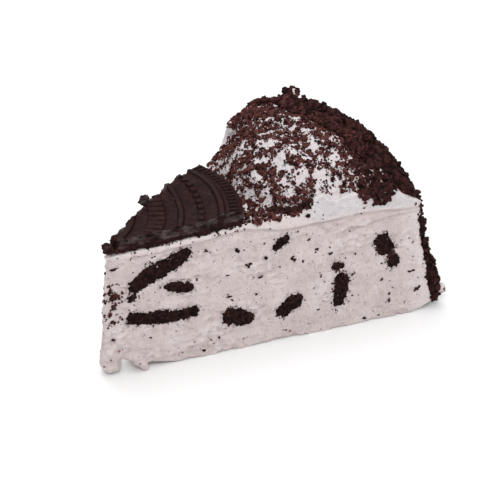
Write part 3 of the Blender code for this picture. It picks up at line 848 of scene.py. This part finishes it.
def shape_cookie(piece):
    """Crumbles the cookie's cut sides and drags their lower edge down over the cream."""
    remesh(piece, COOKIE_VOXEL)
    points, normals = read_points(piece)
    r, angle = polar(points)
    share, direction = cut_share(points, CRUMBLE_REACH)
    on_flake = step(FLAKE_FOOT, FLAKE_FOOT + 1, points[:, 2] - layer_top(r, angle))
    on_flake = on_flake * (np.hypot(r - FLAKE_RADIUS, r * (angle - FACE)) < FLAKE_REACH)
    points += np.outer(FLAKE_LEAN * on_flake, (cos(FACE), sin(FACE), 0))
    points += normals * (on_flake * (lumpy(points, FLAKE_LUMPS, 37) - FLAKE_SHRINK))[:, None]
    points += direction * (np.clip(lumpy(points, CRUMBLED, 31), -0.5, 1) * share)[:, None]
    points += normals * lumpy(points, BAKED, 33)[:, None]
    over_cream = points[:, 2] - layer_top(r, angle)
    drag = uneven(points * (1, 1, 0.3), 2.6, 35) + 0.8 * uneven(points, 1.1, 36) + 0.2
    drag = np.clip(drag, -0.2, 1.2) * (1 + 0.8 * step(28, 42, r))
    points[:, 2] -= drag * share * (1 - step(0.2, 1.4, over_cream))
    write_points(piece, points)
    # Where the pale marks of dust and painted sheen go, by the cut edges
    close, _ = cut_share(points, DUST_AND_SHEEN_WIDTH)
    mark(piece, "dust_and_sheen_edge", close * step(0.6 * DUST_AND_SHEEN_HEIGHT, DUST_AND_SHEEN_HEIGHT, over_cream))
    # Where the painted sheen goes on the raised pattern and the painted shade on its flanks
    mark(piece, "raised", step(COOKIE_TOP + 0.1, COOKIE_TOP + 0.55, over_cream) * (1 - on_flake))
    steep = step(0.03, 0.25, 1 - normals[:, 2])
    mark(piece, "flank", steep * step(COOKIE_TOP - 0.6, COOKIE_TOP - 0.1, over_cream))


wafer = cookie_finish("chocolate_wafer", COOKIE_TONE, COOKIE_LIGHT, dust_and_sheen_share=0.0)
cookie = merged_copy("cookie_disc", "embossed_cookie")
shape_cookie(cookie)
cookie.data.materials.append(wafer)
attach(cookie, "root")
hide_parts("cookie_disc")

TIP_VOXEL = 0.25
TIP_GROW = 0.15
TIP_LUMPS = [(1.8, 0.6), (0.9, 0.6)]

tip_crumb = merged_copy("cookie_tip_fragment", "crumbled_tip")
roughen(tip_crumb, TIP_VOXEL, TIP_GROW, TIP_LUMPS, 40)
# The tip has more of the pale marks, partly dust and partly painted sheen
dust_and_sheen_wafer = cookie_finish("chocolate_wafer_dust_and_sheen", COOKIE_TONE, COOKIE_LIGHT, dust_and_sheen_share=0.9)
tip_crumb.data.materials.append(dust_and_sheen_wafer)
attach(tip_crumb, "root")
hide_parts("cookie_tip_fragment")


# The wafer pieces in the cuts: broken cookie stirred into the filling, nearly black, dry and
# ragged where the knife dragged them. Each one stands a hair proud of the cut.
SHARD_VOXEL = 0.28
SHARD_GROW = 0.25
SHARD_LUMPS = [(2.2, 0.3), (1.1, 0.6), (0.6, 0.5)]
SHARD_TONE = (0.009, 0.0042, 0.0040)
SHARD_LIGHT = (0.034, 0.015, 0.013)
SHARD_REACH = 1.2
SHARD_PROUD = 0.25

broken = crumb_finish("broken_wafer", SHARD_TONE, SHARD_LIGHT, cell=1.1)
shards = []
for number, node in enumerate(wafer_nodes):
    shard = merged_copy(node, "broken_" + node.removeprefix("cookie_"))
    roughen(shard, SHARD_VOXEL, SHARD_GROW, SHARD_LUMPS, 50 + 3 * number)
    shard.data.materials.append(broken)
    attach(shard, "root")
    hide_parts(node)
    shards.append(shard)


def sink_under(surface, pieces, reach, gap):
    """Lowers a cut's surface where it would lie over the face of a piece that is set in it."""
    tree, outward = corner_tree(pieces)
    points, _ = read_points(surface)
    share, direction = cut_share(points, CUT_REACH)
    for i in np.flatnonzero(share > 0.3):
        place = Vector(points[i] * MM) + AXIS
        nearest, index, away = tree.find(place)
        facing = -outward[index].dot(Vector(direction[i]))
        height = (place - nearest).dot(outward[index]) / MM
        if facing > 0.5 and away < reach * MM and height > -gap:
            points[i] += direction[i] * (height + gap)
    write_points(surface, points)


sink_under(filling, shards, SHARD_REACH, SHARD_PROUD)


# The crumbs: cake sieved and crumbled over the cream, finest on the mound and coarsest on the
# rim. Each kind is one mesh of many lumps, thrown on a surface and half sunk in it.
CRUMB_KINDS = 12


def crumb_forms(divisions, rng):
    """Uneven lumps about one unit across, all with the same faces."""
    bpy.ops.object.select_all(action="DESELECT")
    bpy.ops.mesh.primitive_ico_sphere_add(subdivisions=divisions, radius=0.5)
    ball = bpy.context.object
    corners = np.array([vert.co for vert in ball.data.vertices])
    faces = np.array([list(poly.vertices) for poly in ball.data.polygons])
    bpy.data.objects.remove(ball)
    forms = [corners * rng.uniform(0.65, 1.3, (len(corners), 1)) for _ in range(CRUMB_KINDS)]
    return np.array(forms), faces


def turns(count, rng):
    """Random rotations, as matrices."""
    q = rng.normal(size=(count, 4))
    w, x, y, z = (q / np.linalg.norm(q, axis=1)[:, None]).T
    return np.array([[1 - 2 * (y * y + z * z), 2 * (x * y - w * z), 2 * (x * z + w * y)],
                     [2 * (x * y + w * z), 1 - 2 * (x * x + z * z), 2 * (y * z - w * x)],
                     [2 * (x * z - w * y), 2 * (y * z + w * x), 1 - 2 * (x * x + y * y)]]).transpose(2, 0, 1)


def thrown(surface, count, share, rng):
    """Random places on a surface and its normals there. share says how likely each place is."""
    mesh = surface.data
    mesh.calc_loop_triangles()
    points, _ = read_points(surface)
    corners = np.array([list(tri.vertices) for tri in mesh.loop_triangles])
    a, b, c = (points[corners[:, i]] for i in range(3))
    cross = np.cross(b - a, c - a)
    area = np.linalg.norm(cross, axis=1)
    normals = cross / np.maximum(area, 1e-9)[:, None]
    chance = area * share((a + b + c) / 3, normals)
    picked = rng.choice(len(corners), count, p=chance / chance.sum())
    u, v = rng.random((2, count, 1))
    over = (u + v) > 1
    u, v = np.where(over, 1 - u, u), np.where(over, 1 - v, v)
    places = a[picked] + (b[picked] - a[picked]) * u + (c[picked] - a[picked]) * v
    return places, normals[picked]


def crumb_mesh(name, shapes, faces, finish):
    """Makes one piece of many lumps, whose corners are in millimetres from the cake's axis."""
    corners = shapes.reshape(-1, 3)
    corners[:, 2] = np.maximum(corners[:, 2], LOWEST)
    starts = np.arange(len(shapes)) * shapes.shape[1]
    all_faces = (faces[None] + starts[:, None, None]).reshape(-1, 3)
    mesh = bpy.data.meshes.new(name)
    mesh.from_pydata((corners * MM + np.array(AXIS)).tolist(), [], all_faces.tolist())
    mesh.materials.append(finish)
    piece = new_object(name, mesh)
    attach(piece, "root")
    return piece


def crumbs(name, places, normals, sizes, lift, divisions, finish, rng):
    """One mesh of crumbs. lift is how far a crumb's middle stands off, as a share of its size."""
    forms, faces = crumb_forms(divisions, rng)
    count = len(places)
    shapes = forms[rng.integers(0, CRUMB_KINDS, count)] * rng.uniform(0.7, 1.2, (count, 1, 3))
    shapes = np.einsum("nvi,nij->nvj", shapes, turns(count, rng)) * sizes[:, None, None]
    shapes += (places + normals * (lift * sizes)[:, None])[:, None, :]
    return crumb_mesh(name, shapes, faces, finish)


def sizes_between(low, high, count, rng):
    """Sizes of which most are small."""
    return low + (high - low) * rng.random(count) ** 2


def scatter(name, surface, count, share, sizes, finish, rng, lift, divisions):
    """Throws one kind of crumb on a surface. sizes are its smallest and its largest one."""
    places, normals = thrown(surface, count, share, rng)
    crumbs(name, places, normals, sizes_between(*sizes, count, rng), lift, divisions, finish, rng)


# Places on the mound where the cream shows: radius on the cake, angle in degrees, and reach
# along and across. The first two are where the knife wiped the cream clean.
WIPED = [(87, -20, 10.5, 3.9), (113.5, -20, 6, 3.4), (86, 20, 2.6, 2.6)]
THIN = [
    (94, 3.5, 1.6, 3.5), (91, -1.5, 1.5, 2.6), (90, -6.5, 1.6, 4.2), (76, -5, 2.4, 2.2),
    (72.5, 17.6, 2.2, 3), (69, 11, 1.6, 3), (65, 2.4, 1.8, 2.2), (62.5, -4.5, 1.6, 4),
    (76, 2.4, 1.6, 3), (79, 0, 1.8, 2.4), (78.2, -12.1, 3, 2.2), (73, -13, 2.4, 2.2),
    (70, -16.5, 3, 2.4), (84.2, -14.3, 3, 1.8), (92.5, -13, 2.6, 1.4), (66, -11, 1.8, 3),
    (84, 5, 2, 1.6), (100, 6, 1.5, 2.5),
]
# The white peak on the mound's crest, as a radius and an angle in degrees, and how wide it is
PEAK = (109.6, 11.7)
PEAK_SIZE = 2.6
CLUMPS = [(4, 1), (1.7, 0.9)]
# Crumbs lie above these heights: on the cream, and on its rim by the near cut
CREAM_LOW = 48.5
RIM_LOW = 49
# Count, sizes, lift and divisions of each kind of crumb on the mound
MOUND_CRUMBS = {
    "crumbs_dust": (8000, (0.3, 0.7), 0.1, 1),
    "crumbs_fine": (9000, (0.5, 1.3), 0.05, 1),
    "crumbs_medium": (1500, (1.1, 2.4), -0.05, 2),
}
FINE_DARK = (0.022, 0.0075, 0.007)
FINE_RED = (0.165, 0.058, 0.050)


def from_peak(points):
    r, angle = polar(points)
    return np.hypot(r - PEAK[0], r * (angle - radians(PEAK[1])))


def bare(points, places, clumps):
    """1 away from every one of the places, falling to 0 inside them."""
    r, angle = polar(points)
    left = np.ones(len(points))
    for spot_r, spot_angle, along, across in places:
        away = np.hypot((r - spot_r) / along, r * (angle - radians(spot_angle)) / across)
        left = left * step(0.7, 1.2, away + 0.3 * clumps)
    return left


def mound_cover(points):
    """How thickly the fine crumbs lie on the cream, from 0 to 1."""
    _, angle = polar(points)
    clumps = lumpy(points, CLUMPS, 60)
    off_peak = bare(points, [(*PEAK, PEAK_SIZE, PEAK_SIZE)], clumps)
    crest = np.maximum(step(63, 68, points[:, 2]), step(radians(5), radians(13), angle))
    low = 1 - step(54, 60, points[:, 2])
    cover = step(-0.35, 0.3, clumps + 0.18 + 0.3 * crest + 0.25 * low)
    thinned = 0.14 + 0.86 * bare(points, THIN, clumps)
    return cover * off_peak * bare(points, WIPED, clumps) * thinned


def on_mound(points, normals):
    r, angle = polar(points)
    top = step(0.15, 0.35, normals[:, 2]) * step(cookie_edge(angle) - 1, cookie_edge(angle) + 1, r)
    return top * (points[:, 2] > CREAM_LOW) * mound_cover(points)


fine_crumb = crumb_finish("cake_crumbs_fine", FINE_DARK, FINE_RED, cell=1.0)
rng = np.random.default_rng(7)
for label, (count, sizes, lift, divisions) in MOUND_CRUMBS.items():
    scatter(label, cream, count, on_mound, sizes, fine_crumb, rng, lift, divisions)

# A row of darker crumbs that fell along the near cut, from the cookie towards the wiped cream
ROW_START = np.array((62.5, -16.8))
ROW_END = np.array((71.8, -25.0))
ROW_WIDTH = 1.7


def on_row(points, normals):
    along = ROW_END - ROW_START
    share = np.clip((points[:, :2] - ROW_START) @ along / (along @ along), 0, 1)
    away = np.linalg.norm(points[:, :2] - ROW_START - share[:, None] * along, axis=1)
    away = away + 0.9 * uneven(points, 1.6, 75)
    there = 1 - step(0.7 * ROW_WIDTH, ROW_WIDTH, away)
    return there * step(0.1, 0.3, normals[:, 2]) * (points[:, 2] > RIM_LOW)


scatter("crumbs_row", cream, 260, on_row, (0.6, 2.0), coarse_crumb, rng, lift=0.25, divisions=2)


# The ring of coarse crumbs on the rim, the crumbs on the coat, and those that lie over the ring
RING_INNER = 98
RING_INNER_STEP = 5
RING_INNER_TURN = (radians(-14), 0)
RING_OUTER = 107
RING_OUTER_STEP = 20
RING_OUTER_TURN = (radians(-19), radians(-14.5))
COAT_COUNT = 2300
COAT_SIZES = (1.0, 2.8)
FINER_AT_CUT = 0.35
FINER_REACH = 8
MIXED_DARK = (0.016, 0.006, 0.0056)
MIXED_RED = (0.115, 0.041, 0.035)


def on_ring(points, normals):
    """The coarse crumbs that spill over the rim on to the cream beside the near cut."""
    r, angle = polar(points)
    inner = RING_INNER + RING_INNER_STEP * step(*RING_INNER_TURN, angle) + 1.5 * uneven(points, 4, 70)
    outer = RING_OUTER + RING_OUTER_STEP * step(*RING_OUTER_TURN, angle)
    ring = step(inner - 1.5, inner + 1.5, r) * (1 - step(outer - 1, outer + 1, r))
    return ring * step(0.1, 0.3, normals[:, 2]) * (points[:, 2] > RIM_LOW)


scatter("crumbs_ring", cream, 1400, on_ring, (1.1, 2.8), coarse_crumb, rng, lift=0, divisions=2)


def on_coat(points, normals):
    """The seen sides of the coat, but for the dab beside it and the peak."""
    r, angle = polar(points)
    out = normals[:, 0] * np.cos(angle) + normals[:, 1] * np.sin(angle)
    bead_r, bead_angle, bead_z = DABS[-1][0]
    off_bead = np.hypot(r * (angle - radians(bead_angle)), points[:, 2] - bead_z)
    from_cut = np.minimum(points @ inward(NEAR), points @ inward(FAR))
    seen = np.maximum(step(0, 0.3, out + normals[:, 2]), 1 - step(0.5, 1.5, from_cut))
    off_peak = from_peak(points) > 3.2
    return seen * off_peak * step(2.5, 3.5, np.maximum(off_bead, bead_r - 4 - r))


spots, spot_normals = thrown(coat, COAT_COUNT, on_coat, rng)
finer = 1 - FINER_AT_CUT * bell(spots @ inward(NEAR) / FINER_REACH)
coat_sizes = sizes_between(*COAT_SIZES, COAT_COUNT, rng) * finer
crumbs("crumbs_coat", spots, spot_normals, coat_sizes, 0.0, 2, coarse_crumb, rng)


def over_ring(points, normals):
    """The finer crumbs of the mound, which run on over the edge of the coarse ones."""
    r, angle = polar(points)
    past = r - ring_start(angle) - 6 * uneven(points, 6, 71)
    near_edge = (1 - step(0, 6, past)) * step(radians(-15), radians(-9), angle)
    return near_edge * step(0.1, 0.4, normals[:, 2]) * (from_peak(points) > 3.5)


mixed_crumb = crumb_finish("cake_crumbs_mixed", MIXED_DARK, MIXED_RED, cell=1.2)
scatter("crumbs_over_ring", coat, 2400, over_ring, (0.5, 1.9), mixed_crumb, rng, lift=0.25, divisions=1)


# How far down the ring's crumbs hang over the near cut: radius and height
HANGING = [
    (95.7, 54.8), (98.9, 51.2), (101.8, 49.4), (104.9, 48.8), (106.8, 49.6), (108.7, 51.3), (110.4, 53.8),
]


def hanging(points, normals):
    """The coarse crumbs that hang down over the near cut from the ring's end."""
    r, angle = polar(points)
    low = between(HANGING, r) + 1.2 * uneven(points, 2, 74)
    there = (r > HANGING[0][0]) * (r < HANGING[-1][0]) * (angle < 0)
    return cut_share(points, 2.5)[0] * there * step(0, 1, points[:, 2] - low)


scatter("crumbs_hanging", cream, 110, hanging, (1.0, 2.4), coarse_crumb, rng, lift=0.1, divisions=2)


def by_cream_edge(points, normals):
    """The small crumbs that stick out where the near cut went through the coat."""
    r, _ = polar(points)
    from_cut = points @ inward(NEAR)
    past = r - wall_radius(points[:, 2]) - pressed_out(points[:, 2], from_cut)
    return (1 - step(1, 3, from_cut)) * step(-1.2, 0, past) * (points[:, 2] < 50) * (past < 3)


scatter("crumbs_cut_edge", coat, 330, by_cream_edge, (0.5, 1.8), coarse_crumb, rng, lift=0.35, divisions=1)


def by_tip(points, normals):
    r, _ = polar(points)
    return (1 - step(3, 7, r)) * step(1.5, 2.5, r) * step(-0.6, 0.2, normals[:, 2])


scatter("crumbs_tip_top", tip_crumb, 40, by_tip, (0.5, 1.6), coarse_crumb, rng, lift=0, divisions=2)
scatter("crumbs_tip_cookie", cookie, 60, by_tip, (0.5, 1.6), coarse_crumb, rng, lift=0, divisions=2)


# The specks on the cuts: scraps of wafer that the knife dragged out, thickest round each broken
# piece and under the cookie. The larger ones lie where the photo shows them on the near cut,
# and at places of the same kind on the far cut.
# Radius on the cake, height, and size along and up
FLECKS = [
    (4, 43.3, 3.2, 1.1), (2, 37, 1.4, 1.6), (2.8, 34.5, 1.6, 1.2), (4, 32.2, 3, 1.5),
    (10.3, 31.6, 2.7, 1.5), (3.7, 28.4, 3, 2.2), (1.8, 21.6, 1, 3.6), (2.9, 14.8, 1.8, 1),
    (16.4, 12.7, 1.2, 0.9), (37.7, 43.8, 1.4, 1.2), (49.5, 41.2, 2.4, 1.6), (60.1, 35.7, 1.5, 1.4),
    (53.4, 34.4, 2.6, 1.8), (58.3, 28.6, 1.7, 0.9), (46.1, 32.4, 2, 1.2), (34.1, 32.7, 1.4, 1.2),
    (46.3, 23.2, 1.8, 1), (47.4, 21.4, 1.1, 1), (56.8, 21.7, 1.1, 1.1), (42.4, 6.8, 1.2, 1),
    (36.7, 2.6, 2, 1.1), (68.3, 4.2, 1.2, 0.8), (79.7, 35.2, 1.8, 1.6), (85.4, 32.6, 1.7, 1.2),
    (71, 33.7, 2, 2.2), (74.5, 31.7, 1, 1), (76.8, 40.2, 1.1, 1.2), (81.6, 23.8, 1.4, 1.8),
    (94.8, 22, 2.2, 1.4), (79, 19.6, 0.9, 0.9), (105.9, 17.2, 1.1, 1), (109.2, 10.4, 1.1, 1),
    (109.3, 7.8, 1.3, 1.2), (115.5, 32.7, 2.6, 1.4), (107.3, 33.2, 2.2, 2.6), (109.6, 28.8, 2.2, 3),
    (110.6, 25, 1.8, 2.6), (104.2, 34.4, 2.4, 1.4), (46.7, 15.6, 2.4, 2), (53.8, 14.2, 2.2, 1.6),
    (53.4, 10.4, 1.8, 1.6), (46.9, 12.6, 1.6, 1.6), (95, 30.3, 1.1, 0.9), (108.6, 27.2, 4.6, 2.6),
    (80.9, 10.2, 1.1, 1.2), (99.7, 2, 2, 1.3), (118, 18, 2.9, 1.3), (120.7, 10.2, 1.8, 2.6),
]
FAR_FLECK_SHIFT = 7.0
FAR_FLECK_HEIGHTS = (2, 43)
SPECK_REACH = 0.8
# The two patches of reddish crumbs beside the tip: height, share, and reach along and up
TIP_PATCHES = [(33, 1.4, 3.2, 2.4), (24, 0.6, 2.5, 2.5)]
TIP_PATCH_RADIUS = 3
FLECK_LUMPS = 7
FLECK_DARK = (0.013, 0.0060, 0.0055)
FLECK_LIGHT = (0.080, 0.036, 0.031)
SCRAP_DARK = (0.022, 0.010, 0.009)
SCRAP_LIGHT = (0.100, 0.044, 0.038)


def near_wafer(points):
    """How likely a scrap is at a place on a cut, from its distance to the nearest cookie piece."""
    tree, _ = corner_tree(shards + [cookie])
    away = np.array([tree.find(Vector(point * MM) + AXIS)[2] / MM for point in points])
    return np.exp(-away / 0.45) * step(-0.25, 0.5, uneven(points, 2.4, 82))


def near_tip(points, normals):
    """The reddish crumbs that show in two patches beside the tip."""
    r, _ = polar(points)
    share, _ = cut_share(points, SPECK_REACH)
    patches = sum(amount * np.exp(-((r - TIP_PATCH_RADIUS) / along) ** 2 - ((points[:, 2] - z) / up) ** 2)
                  for z, amount, along, up in TIP_PATCHES)
    return share * patches * step(-0.2, 0.4, uneven(points, 1.8, 83))


def on_cut(points, normals):
    """The places near the broken wafer on the cuts, and a few clusters between them."""
    share, _ = cut_share(points, SPECK_REACH)
    on_face = np.flatnonzero(share > 0.5)
    chance = np.zeros(len(points))
    clusters = step(0.42, 0.7, uneven(points[on_face], 2.8, 80))
    chance[on_face] = near_wafer(points[on_face]) + 0.001 + 0.05 * clusters
    return chance


def flecks(name, finish, rng):
    """One mesh of flat lumps, sunk in the two cuts."""
    forms, faces = crumb_forms(1, rng)
    corners = []
    for side in (NEAR, FAR):
        along = np.array((cos(FACE), side * sin(FACE), 0))
        for r, z, wide, high in FLECKS:
            if side == FAR:
                r = max(r + rng.uniform(-1, 1) * FAR_FLECK_SHIFT, 2)
                z = np.clip(z + rng.uniform(-1, 1) * FAR_FLECK_SHIFT, *FAR_FLECK_HEIGHTS)
            tilt = rng.uniform(-0.3, 0.3)
            cosine, sine = cos(tilt), sin(tilt)
            spin = np.array([[cosine, sine, 0], [-sine, cosine, 0], [0, 0, 1]])
            axes = np.stack([along, np.array((0, 0, 1.0)), -inward(side)])
            for _ in range(FLECK_LUMPS):
                form = forms[rng.integers(0, CRUMB_KINDS)] * (wide, high, 0.9) * rng.uniform(0.35, 0.75)
                form = form + np.array((wide, high, 0)) * rng.uniform(-0.38, 0.38, 3)
                corners.append(form @ spin @ axes + along * r + np.array((0, 0, z)))
    return crumb_mesh(name, np.array(corners), faces, finish)


scrap = crumb_finish("wafer_scraps", SCRAP_DARK, SCRAP_LIGHT, cell=0.7)
scrap_rng = np.random.default_rng(11)
fleck = crumb_finish("wafer_flecks", FLECK_DARK, FLECK_LIGHT, cell=0.9)
flecks("wafer_flecks", fleck, scrap_rng)
scatter("wafer_scraps", filling, 2800, on_cut, (0.15, 0.9), scrap, scrap_rng, lift=0.05, divisions=1)
scatter("wafer_scraps_cream", cream, 600, on_cut, (0.15, 0.9), scrap, scrap_rng, lift=0.05, divisions=1)
scatter("crumbs_tip", filling, 650, near_tip, (0.25, 1.0), fine_crumb, scrap_rng, lift=0.1, divisions=1)
